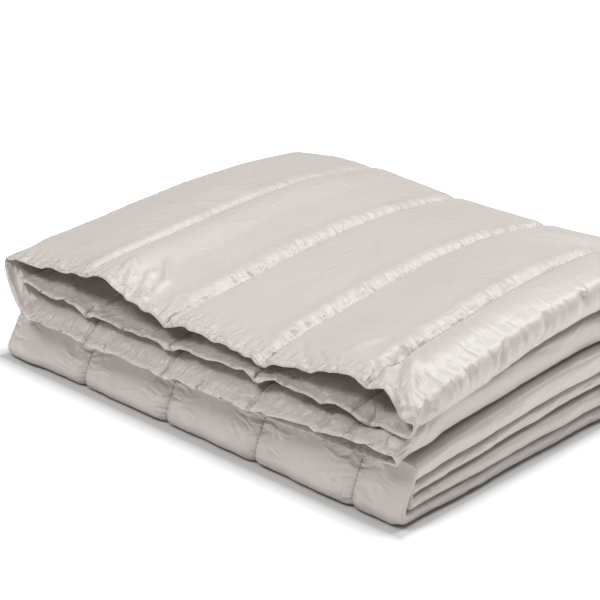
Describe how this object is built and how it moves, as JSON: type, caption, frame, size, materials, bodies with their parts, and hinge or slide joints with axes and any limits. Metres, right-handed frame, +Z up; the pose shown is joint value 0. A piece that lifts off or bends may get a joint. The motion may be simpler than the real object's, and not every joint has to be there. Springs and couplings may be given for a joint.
{
  "type": "folded throw blanket",
  "caption": "Light channel-quilted throw blanket, folded into a soft flat stack that lies on a bed, sofa or shelf.",
  "frame": {"origin": "under the middle of the folded stack, on the surface that it lies on", "axes": "+X along the front edge with the open hems, +Y back along the channels, +Z up"},
  "size_m": [0.503, 0.4134, 0.1394],
  "materials": {
    "satin_nylon": "soft satin sheen, pale warm grey"
  },
  "bodies": {
    "root": {"quilted_throw": "satin_nylon"}
  },
  "joints": []
}
